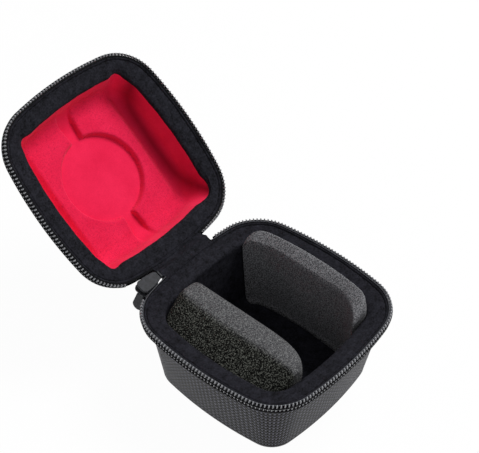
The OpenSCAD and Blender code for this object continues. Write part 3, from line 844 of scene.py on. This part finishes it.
def open_foam():
    """Polyurethane foam; the mesh stores rough, from 0 to 1, how much of a darker, sparser speckle it gets,
    which is painted shade.
    """
    material, tree, shader = new_finish("open_cell_foam", "#4a4a4a", 0.95, Specular_IOR_Level=0.06)
    rough = stored(tree, "rough")
    grain = add_node(tree, "ShaderNodeMix", [
        (0, rough), (2, object_noise(tree, 0.5, 2.0, 0.6)), (3, object_noise(tree, 0.55, 2.0, 0.6))],
        data_type="FLOAT").outputs[0]
    specks = spread(tree, grain, 0.4, 0.62)
    skin = blend_colours(tree, specks, "#3e3e40", "#8a8a8d")
    # Painted shade: where rough is 1 the colour is mostly near black, with sparse light specks
    cut = blend_colours(tree, maths(tree, "POWER", specks, 3.0), "#030303", "#6b6d66")
    surface(tree, shader, blend_colours(tree, rough, skin, cut),
            times(tree, grain, plus(tree, 0.4, times(tree, rough, 0.6))), 0.6, 0.8)
    return material


def ribbed_tape():
    """Zip tape: fine ribs across its length, every 0.8 mm, painted darker in the grooves between them as painted
    shade, and a pale line along its top edge.
    """
    material, tree, shader = new_finish("ribbed_polyester_tape", "#0d0d0f", 0.8, Specular_IOR_Level=0.08)
    u, v = cloth_place(tree)
    rib = ribs(tree, u, 0.8)
    edge = times(tree, maths(tree, "GREATER_THAN", v, SELVEDGE[0]), maths(tree, "LESS_THAN", v, SELVEDGE[1]))
    pale = times(tree, edge, plus(tree, 0.5, times(tree, rib, 0.5)))
    # Painted shade: the colour is darker in the grooves between the ribs
    body = blend_colours(tree, rib, "#060607", "#121214")
    surface(tree, shader, blend_colours(tree, pale, body, "#515257"), rib, 0.15, 0.7)
    return material


def strip_weave():
    """Plain-woven tape of the hinge; its colour is painted darker where the weave is low, a painted shade."""
    material, tree, shader = new_finish("woven_hinge_tape", "#2b2b2f", 0.75, Sheen_Weight=0.1)
    u, v = cloth_place(tree)
    height = times(tree, ribs(tree, u, 0.9), ribs(tree, v, 0.7))
    # Painted shade: the colour follows the weave's height, darker in the hollows between threads
    surface(tree, shader, blend_colours(tree, height, "#1d1d20", "#3d3d42"), height, 0.2, 0.7)
    return material


def grained(name, colour, roughness, low, high, grain, relief_mm, strength, ends=None, **sockets):
    """A finish whose tone and relief both come from one fine noise."""
    material, tree, shader = new_finish(name, colour, roughness, **sockets)
    height = object_noise(tree, *grain)
    share = spread(tree, height, *ends) if ends else height
    surface(tree, shader, blend_colours(tree, share, low, high), height, relief_mm, strength)
    return material


FOAM, TAPE, STRIP = open_foam(), ribbed_tape(), strip_weave()
# The real filament is black; it is drawn light grey, a painted highlight for its gloss. It is drawn smooth and
# only its tone drifts
COIL = grained("nylon_coil_monofilament", "#77787c", 0.2, "#77787c", "#b6b7ba", (1.2, 2.0), 0.05, 0.4)
# The noise gives the eye the twist of the thread
THREAD = grained("polyester_thread", "#101012", 0.9, "#040405", "#0c0c0e", (0.3, 1.0), 0.05, 0.5,
                 Specular_IOR_Level=0.1)
# Handling wears the enamel a little lighter in patches
METAL = grained("enamelled_die_cast_metal", "#26272a", 0.6, "#1d1e20", "#34353a", (1.4, 4.0, 0.7), 0.08,
                0.4, (0.35, 0.7), Specular_IOR_Level=0.2)
# The stiff foam is closed-cell, with a fine grain
EVA = grained("moulded_eva_foam", "#2a2a2c", 0.9, "#222224", "#333336", (0.8, 3.0), 0.1, 0.5)
print("materials:", len(bpy.data.materials))

# %% [markdown]
# ## Teeth and stitches
# The two rows of loops stand half a pitch apart, so that they mesh when the lid is shut. At the back
# the rows end beside the hinge, one a little further than the other. The stitches run along the
# soft band, in the channel that they pull into the velvet, and hold the tape from inside.

# %% Set the loops and the stitches along the rim
STITCH_PITCH, THREAD_R = 2.9, 0.22
STITCH_DEPTH = BAND_TOP + 0.4
stitch = tube_mesh("stitch", [(0, -0.95, -0.3), (0, -0.75, 0.0), (0, 0, 0.14), (0, 0.75, 0.0),
                              (0, 0.95, -0.3)], THREAD_R, beside=(1.0, 0.0, 0.0))
halves = (("base", False, on_base, 0.25), ("lid", True, open_lid, 0.75))
for half, flip, place, shift in halves:
    path = rim_path(0.0, 0.0, TOOTH_PITCH, ROW_START, ROW_END[half], flip, place, shift)
    made[half + "_zip_teeth"] = repeated(half + "_zip_coil", *path, coil_loop, COIL)
for half, flip, place, _ in halves:
    path = rim_path(STITCH_IN, STITCH_DEPTH, STITCH_PITCH, rim_share(-34.6, -1),
                    rim_share(STRIP_HALF, 1), flip, place, 0.5)
    made[half + "_stitches"] = repeated(half + "_rim_stitches", *path, stitch, THREAD)
print("loops:", [len(made[half + "_zip_teeth"].data.polygons) // len(coil_loop.data.polygons)
                 for half in ("base", "lid")])
for pattern in (coil_loop, stitch):
    bpy.data.objects.remove(pattern)

# %% [markdown]
# ## The hinge
# At the back a woven strip joins the halves outside, and the black velvet runs across it inside. Both
# are one cloth from half to half, so each is one closed sheet that is drawn open as in the
# photograph.

# %% Sections of the hinge cloths


def cloth_line(back, low, fold, high):
    """A line across the hinge: insets and depths on the base, places round the fold, the same on the lid."""
    return ([(back - inset - FOLD_Y, FOLD_DROP - depth) for inset, depth in low] + fold
            + [turned(back - inset - FOLD_Y, depth + FOLD_DROP) for inset, depth in high])


def rounded_line(points, rounds=3):
    """Cuts the corners of a line again and again, and keeps its ends."""
    points = np.asarray(points, float)
    for _ in range(rounds):
        a, b = points[:-1], points[1:]
        cut = np.empty((2 * len(a), 2))
        cut[0::2], cut[1::2] = 0.75 * a + 0.25 * b, 0.25 * a + 0.75 * b
        points = np.vstack((points[:1], cut, points[-1:]))
    return points


def even_line(points, count=44):
    steps = run(points)
    wanted = np.linspace(0, steps[-1], count)
    return np.column_stack([np.interp(wanted, steps, points[:, k]) for k in (0, 1)])


def hinge_cloth(name, outside, inside):
    """A closed sheet across the fold, from its outer and its inner line at each station of x."""
    stations = np.linspace(-STRIP_HALF, STRIP_HALF, 62)
    line = FINE[FINE[:, 1] > 20]
    line = line[np.argsort(line[:, 0])]
    points = []
    for x in stations:
        back = np.interp(x, line[:, 0], line[:, 1])
        section = np.vstack((even_line(rounded_line(outside(back, x))),
                             even_line(rounded_line(inside(back, x)))[::-1]))
        points += [(x, FOLD_Y + y, FOLD_Z + z) for y, z in section]
    t = run(section)
    return outward(loft(name, points, len(section), stations, np.append(t, t[-1] + 0.5), sharp_deg=50))


def edge_wave(x):
    """The strip's woven edges run a little unevenly."""
    return 0.12 * math.sin(1.3 * x) + 0.08 * math.sin(2.9 * x + 1.0)


def strip_outside(back, x):
    edge = TAPE_DROP + edge_wave(x)
    return cloth_line(back, [(wall_at(BASE_DRAFT, TAPE_DROP) + 0.1, edge), (0.9, 5.3), (-1.0, 4.2), (-1.1, 3.0)],
                      [(-0.25, -0.6), (0.02, -0.12), (0.5, -0.55)],
                      [(-1.1, 1.5), (-1.0, 4.2), (0.9, 5.3), (wall_at(LID_DRAFT, TAPE_DROP) + 0.1, edge)])


def strip_inside(back, x):
    edge = SEAM + edge_wave(x)
    return cloth_line(back, [(wall_at(BASE_DRAFT, SEAM) + 0.15, edge), (-0.1, 3.9), (-0.2, 2.2)],
                      [(-0.75, 0.2), (0.0, 0.45), (0.85, 0.25)],
                      [(-0.2, 0.4), (-0.1, 3.9), (wall_at(LID_DRAFT, SEAM) + 0.15, edge)])


def velvet_outside(back, x):
    """The velvet's hidden face lies on the strip."""
    return cloth_line(back, [(wall_at(BASE_DRAFT, SEAM) + 0.2, SEAM - 0.1), (0.0, 3.7), (-0.1, 2.2)],
                      [(-0.8, 0.3), (0.0, 0.55), (0.9, 0.35)],
                      [(-0.1, 0.5), (0.0, 3.7), (wall_at(LID_DRAFT, SEAM) + 0.2, SEAM - 0.1)])


def velvet_inside(back, x):
    """Its pile runs on from rim band to rim band, with a low ridge over the fold."""
    ridge = 1.15 + 0.08 * math.sin(0.9 * x + 0.5)
    low = [(SHELL_INSET + 0.1, RIM_Z + 0.3), (TAPE_IN + 0.6, BAND_TOP - 0.02), (TAPE_IN - 0.6, BAND_TOP - 0.1)]
    return cloth_line(back, low, [(-1.1, 0.5), (-0.3, ridge), (0.4, ridge), (1.3, 0.6)], low[::-1])


hinge_strip = hinge_cloth("hinge_outer_strip", strip_outside, strip_inside)
hinge_velvet = hinge_cloth("hinge_inner_velvet", velvet_outside, velvet_inside)
print("hinge cloths: %.1f mm wide" % (2 * STRIP_HALF))

# %% [markdown]
# ## The foam cushions
# Two foam logs fill the sides of the well and leave a slot for the watch. They are bare foam, cut to
# the curve of the wall and rounded over their tops and ends. Each is lofted from sections across the
# case, set side by side from front to back, and each point stores how much painted shade it gets.

# %% Foam cushions
CUSHION_FOOT, CUSHION_END, END_ROUND, AIR = FLOOR_T + 0.3, 32.9, 4.0, 0.3
# Crowns as (share of the way from the wall to the inner side, drop from the top)
LEFT_RISE, LEFT_CROWN = 4.0, [(0, 9), (0.15, 6.2), (0.34, 2.4), (0.46, 0.4), (0.54, 0), (0.68, 0.5),
                              (0.84, 1.4), (0.95, 2.8), (1, 5)]
RIGHT_RISE, RIGHT_CROWN = 4.2, [(0, 1.6), (0.05, 0.4), (0.14, 0), (0.4, 0.9), (0.8, 2.5), (0.93, 3.1),
                                (1, 4.2)]
wide_rim = outline(6000)
wide_rim = wide_rim[wide_rim[:, 0] >= 0]


def wall_inset(z):
    """How far inside the outline the opening's wall lies at a height, with the cushion's air."""
    depth = BASE_H - MOUTH_Z - max(z, FLOOR_T + MOUTH_ROUND)
    return MOUTH_INSET + 0.1 * max(0.0, depth) + AIR + 0.7 * smooth((z - BASE_H + 1) / 3)


def wall_x(y, inset):
    """Place of the right-hand wall at y."""
    x, at = (wide_rim[:, k] - inset * wide_rim[:, k + 2] for k in (0, 1))
    keep = x > 5
    order = np.argsort(at[keep])
    return float(np.interp(y, at[keep][order], x[keep][order]))


def cushion_section(y, inner, rise, crown):
    """A section at y between the wall and the inner side, listed from the wall over the top."""
    t = max(0.0, (abs(y) - CUSHION_END + END_ROUND) / END_ROUND)
    top = BASE_H + rise - END_ROUND * (1 - math.sqrt(max(0.0, 1 - 0.96 * t * t)))
    low = CUSHION_FOOT + MOUTH_ROUND
    half_d = CASE_D / 2
    span = half_d - wall_inset(BASE_H)

    def place(z, share, extra=0.0):
        """A point at a height, so far of the way from the wall to the inner side."""
        inset = wall_inset(z) + extra
        f = min(1.0, (half_d - inset) / span)
        wall = wall_x(y * f, inset)
        return wall + (min(inner, wall - 1.5) - wall) * share, y * f, z

    def rows(shoulder, share):
        foot = [(CUSHION_FOOT, MOUTH_ROUND + 0.1), (CUSHION_FOOT + 1.0, 1.0)]
        foot += [(low + (shoulder - low) * t, 0.0) for t in (0, 0.33, 0.66, 0.9)]
        return [place(z, share, extra) for z, extra in foot]

    over = [place(top - drop, share) for share, drop in rounded_line(crown, 2)]
    return rows(top - crown[0][1], 0) + over + rows(top - crown[-1][1], 1)[::-1]


def left_side(y):
    return 8.0 + 8.0 * ((CUSHION_END - y) / (2 * CUSHION_END)) ** 10


def right_side(y):
    t = max(0.0, abs(y) - 16) / (CUSHION_END - 16)
    return 27.6 - 10.0 * (1 if y < 0 else 0.5) * t * t


def cushion(name, side_line, rise, crown, mirror):
    """A closed foam log; the left one is drawn on the right and mirrored."""
    rows = [cushion_section(y, side_line(y), rise, crown)
            for y in CUSHION_END * np.sin(np.linspace(-1, 1, 49) * math.pi / 2)]
    piece = loft(name, np.vstack(rows) * (-1 if mirror else 1, 1, 1), len(rows[0]), sharp_deg=180)
    # The left cushion gets the darker speckle, painted shade, most of all on its side by the wall; the right one
    # gets none
    middle = 1 + 2 * (len(crown) - 1)
    rough = 0.45 + 0.55 * smooth((6 + middle - np.arange(len(rows[0]))) / 6.0)
    store(piece, "rough", np.tile(rough * mirror, len(rows)))
    return outward(piece)


made["left_cushion"] = cushion("left_foam_cushion", left_side, LEFT_RISE, LEFT_CROWN, True)
made["right_cushion"] = cushion("right_foam_cushion", right_side, RIGHT_RISE, RIGHT_CROWN, False)
print("cushion faces:", [len(made[side + "_cushion"].data.polygons) for side in ("left", "right")])

# %% [markdown]
# ## The slider and its pull
# The slider waits at the left end of the hinge, where both rows of teeth start. It is cast metal: two
# plates joined by a post, with turned edges, a bridge on the outer plate, and a wire with a grip on
# the bridge. They are drawn round the fold line, half way between the halves, as plates and bars
# with bevelled edges, because a casting has no sharp edge.

# %% Slider parts


def on_fold(points):
    """Turns points drawn round the fold line, y outwards, half as far as the lid."""
    points = np.asarray(points, float)
    y, z = turned(points[:, 1], points[:, 2], LID_TURN / 2)
    return np.column_stack((points[:, 0], FOLD_Y + y, FOLD_Z + z))


def prism(outline_xz, y0, y1):
    """Points and faces of a flat shape between two values of y."""
    n = len(outline_xz)
    points = [(x, y, z) for y in (y0, y1) for x, z in outline_xz]
    faces = [tuple(range(n)), tuple(range(2 * n - 1, n - 1, -1))]
    faces += [(k, n + k, n + (k + 1) % n, (k + 1) % n) for k in range(n)]
    return points, faces


def box(x0, x1, y0, y1, z0, z1):
    return prism([(x0, z0), (x1, z0), (x1, z1), (x0, z1)], y0, y1)


def joined_solids(name, solids, bevel, place=on_fold):
    """One piece from several closed solids, with every sharp edge bevelled."""
    points, faces = [], []
    for more_points, more_faces in solids:
        faces += [tuple(v + len(points) for v in face) for face in more_faces]
        points += more_points
    piece = outward(finish_mesh(name + "_raw", place(points), faces))
    modifier = piece.modifiers.new("edges", "BEVEL")
    modifier.width, modifier.segments = bevel * MM, 3
    modifier.limit_method, modifier.angle_limit = "ANGLE", math.radians(35)
    return plain_mesh(piece, name)


half_l, half_w, half_t = SLIDER_L / 2 - 0.6, SLIDER_W / 2 - 0.5, SLIDER_T / 2
half_plate = [(-half_l, -half_w / 2), (-half_l + 0.5, -half_w * 0.78), (-half_l + 1.6, -half_w),
              (-1, -half_w), (half_l - 2.4, 0.5 - half_w), (half_l - 0.9, 0.9 - half_w),
              (half_l, 1.7 - half_w)]
plate = [(SLIDER_X + x, z) for x, z in half_plate + [(x, -z) for x, z in half_plate[::-1]]]
POST_R = 1.1
post = [(SLIDER_X + 2 - half_l + POST_R * math.cos(a), POST_R * math.sin(a))
        for a in np.linspace(0, 2 * math.pi, 20, endpoint=False)]
solids = [prism(plate, half_t - PLATE_T, half_t), prism(plate, -half_t, PLATE_T - half_t),
          prism(post, PLATE_T - half_t - 0.1, half_t - PLATE_T + 0.1)]
for face in (-1, 1):
    for side in (-1, 1):
        y, z = face * (half_t - PLATE_T - 0.35), side * (half_w - 1.3)
        solids.append(box(SLIDER_X - 0.8, SLIDER_X + half_l - 2.2, y - 0.45, y + 0.45, z - 0.35, z + 0.35))
made["slider_body"] = joined_solids("slider_body_casting", solids, 0.28)

# The bridge is drawn as x, z, y: its side view lies in the plane of the slider's length
bridge_line = [(-3.8, -0.1), (-3.5, 1.9), (-2.7, 2.8), (2.4, 2.8), (3.4, 1.8), (3.8, -0.1), (2.2, -0.1),
               (1.9, 1.9), (-1.9, 1.9), (-2.2, -0.1)]
made["slider_bridge"] = joined_solids(
    "slider_bridge_loop", [prism(bridge_line, -0.9, 0.9)], 0.25,
    lambda points: on_fold([(SLIDER_X + x, half_t + z, y) for x, y, z in points]))
made["zip_bottom_stop"] = joined_solids(
    "zip_bottom_clip", [box(SLIDER_END + 0.2, SLIDER_END + 1.2, -1.2, 1.2, -1.6, 1.6)], 0.3)
print("slider faces:", [len(made[node].data.polygons) for node in ("slider_body", "slider_bridge")])

# %% Wire and grip of the pull
PIN_Y, LEG_L, LEG_Z, WIRE_R = half_t + 0.95, 6.0, 2.0, 0.55
EYE_Y = PIN_Y + LEG_L
GRIP_L, GRIP_HALF, GRIP_T, EYE_R = 11.0, 2.5, 1.8, 1.5

wire_line = soft_section([(PIN_Y, -LEG_Z), (EYE_Y, -LEG_Z), (EYE_Y, LEG_Z), (PIN_Y, LEG_Z)], 0.5, 6)
tangent = np.roll(wire_line, -1, axis=0) - np.roll(wire_line, 1, axis=0)
tangent /= np.linalg.norm(tangent, axis=1)[:, None]
points = [(SLIDER_X + WIRE_R * math.sin(a), y - WIRE_R * math.cos(a) * tz, z + WIRE_R * math.cos(a) * ty)
          for (y, z), (ty, tz) in zip(wire_line, tangent)
          for a in np.linspace(0, 2 * math.pi, 14, endpoint=False)]
made["pull_wire"] = outward(loft("pull_wire_loop", on_fold(points), 14, closed=True, sharp_deg=180))


def grip_outline():
    """The grip's outline from its neck round its end and back, in z and y."""
    start, shoulder = EYE_Y + EYE_R - 0.45, EYE_Y + EYE_R + 0.3
    centre = shoulder + GRIP_L - GRIP_HALF
    side = [(1.0, start), (1.0, shoulder - 0.1), (1.5, shoulder), (GRIP_HALF - 0.5, shoulder + 0.1),
            (GRIP_HALF, shoulder + 0.7)]
    side += [(GRIP_HALF * math.cos(a), centre + GRIP_HALF * math.sin(a))
             for a in np.radians(np.linspace(0, 90, 9))]
    return side + [(-z, y) for z, y in side[::-1][1:]]


def eye_ring(sides=28):
    """The eye round the wire, its bore along z."""
    points = [(z, r * math.cos(a), EYE_Y + r * math.sin(a))
              for z in (-1.0, 1.0) for r in (WIRE_R + 0.3, EYE_R)
              for a in np.linspace(0, 2 * math.pi, sides, endpoint=False)]
    faces = []
    for k in range(sides):
        l = (k + 1) % sides
        faces += [(k, l, sides + l, sides + k), (2 * sides + k, 3 * sides + k, 3 * sides + l, 2 * sides + l),
                  (k, 2 * sides + k, 2 * sides + l, l), (sides + k, sides + l, 3 * sides + l, 3 * sides + k)]
    return points, faces


made["pull_grip"] = joined_solids(
    "pull_grip_tab", [prism(grip_outline(), -GRIP_T / 2, GRIP_T / 2), eye_ring()], 0.3,
    lambda points: on_fold([(SLIDER_X + y, z, x) for x, y, z in points]))
print("pull faces:", [len(made[node].data.polygons) for node in ("pull_wire", "pull_grip")])

# %% [markdown]
# ## Floor, light and background
# The photograph is a cut-out on white under soft light from the front right. A large area lamp gives
# that light, a weaker one fills the left, and the sky gives the rest. The white behind the object is
# only what the camera sees: Light Path swaps it in for camera, glossy and transmission rays, so that
# it adds no light to the object, and the floor still takes its shadow.

# %% Stage
SKY_LEVEL, FLOOR_WHITE, FLOOR_HALF = 0.29, 0.97, 3.0
AIM = Vector((0.0, 0.03, 0.05))


def seen_directly(tree):
    """1 for rays from the camera and for what gloss and glass show of the background."""
    path = tree.nodes.new("ShaderNodeLightPath").outputs
    glass = maths(tree, "MAXIMUM", path["Is Glossy Ray"], path["Is Transmission Ray"])
    return maths(tree, "MAXIMUM", path["Is Camera Ray"], glass)


def swapped_white(tree, kind, share, plain, output):
    """Shows plain white instead of a shader by the given share."""
    white = add_node(tree, kind, [("Color", hex_colour("#ffffff")), ("Strength", 1.0)])
    mix = add_node(tree, "ShaderNodeMixShader", [(0, share), (1, plain.outputs[0]), (2, white.outputs[0])])
    tree.links.new(mix.outputs[0], tree.nodes[output].inputs["Surface"])


def dress(piece, finish):
    piece.data.materials.clear()
    piece.data.materials.append(finish)


world = bpy.data.worlds.new("studio_sky")
bpy.context.scene.world = world
world.use_nodes = True
sky = world.node_tree.nodes["Background"]
sky.inputs["Color"].default_value = hex_colour("#f4f6fa")
sky.inputs["Strength"].default_value = SKY_LEVEL
swapped_white(world.node_tree, "ShaderNodeBackground", seen_directly(world.node_tree), sky, "World Output")

# White paper: to the camera most of it is plain white, and the rest keeps the shadow
paper, tree, shader = new_finish("white_paper_floor", "#f2f2f2", 0.9)
swapped_white(tree, "ShaderNodeEmission", times(tree, seen_directly(tree), FLOOR_WHITE), shader,
              "Material Output")
mesh = bpy.data.meshes.new("floor")
mesh.from_pydata([(x * FLOOR_HALF, y * FLOOR_HALF, 0) for x, y in ((-1, -1), (1, -1), (1, 1), (-1, 1))],
                 [], [(0, 1, 2, 3)])
floor = linked("floor", mesh)
dress(floor, paper)

for name, place, size, watts in (("key_lamp", Vector((0.78, -0.2, 1.12)), 0.6, 17.0),
                                 ("fill_lamp", Vector((-0.9, -0.5, 0.8)), 0.9, 1.5)):
    data = bpy.data.lights.new(name, "AREA")
    data.shape, data.size, data.energy = "SQUARE", size, watts
    lamp = linked(name, data)
    lamp.location = place
    lamp.rotation_euler = (AIM - place).to_track_quat("-Z", "Y").to_euler()
bpy.context.scene.view_settings.view_transform = "Standard"
print("lamps: key from the front right, fill from the left")

# %% [markdown]
# ## Hand over to the frame
# Each piece gets its finish, rides on the body of its CAD node, and hides that node's part. The two
# hinge cloths get their finish and hide the parts of both halves; they ride on no body.

# %% Ride, replace and finish
body_of = {node: body for body, nodes in frame["record"]["behaviour"]["bodies"].items() for node in nodes}
for finish, slot, nodes in (
        (NYLON, "woven_cover", ["base_cover", "lid_cover"]),
        (EVA, "moulded_foam", ["base_core", "lid_core"]),
        (BLACK_VELVET, "black_velvet", ["base_lining", "base_rim_band", "lid_rim_band"]),
        (RED_VELVET, "red_velvet", ["lid_lining"]),
        (FOAM, "grey_foam", ["left_cushion", "right_cushion"]),
        (TAPE, "zip_tape", ["base_zip_tape", "lid_zip_tape"]),
        (COIL, "zip_coil", ["base_zip_teeth", "lid_zip_teeth"]),
        (THREAD, "thread", ["base_stitches", "lid_stitches"]),
        (METAL, "dark_metal", ["zip_bottom_stop", "slider_body", "slider_bridge", "pull_wire", "pull_grip"])):
    for node in nodes:
        dress(made[node], finish)
        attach(made[node], body_of[node])
        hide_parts(node)
for piece, nodes, finish, slot in (
        (hinge_strip, ["base_hinge_strip", "lid_hinge_strip"], STRIP, "hinge_tape"),
        (hinge_velvet, ["base_hinge_lining", "lid_hinge_lining"], BLACK_VELVET, "black_velvet")):
    dress(piece, finish)
    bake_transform(piece)
    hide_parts(*nodes)
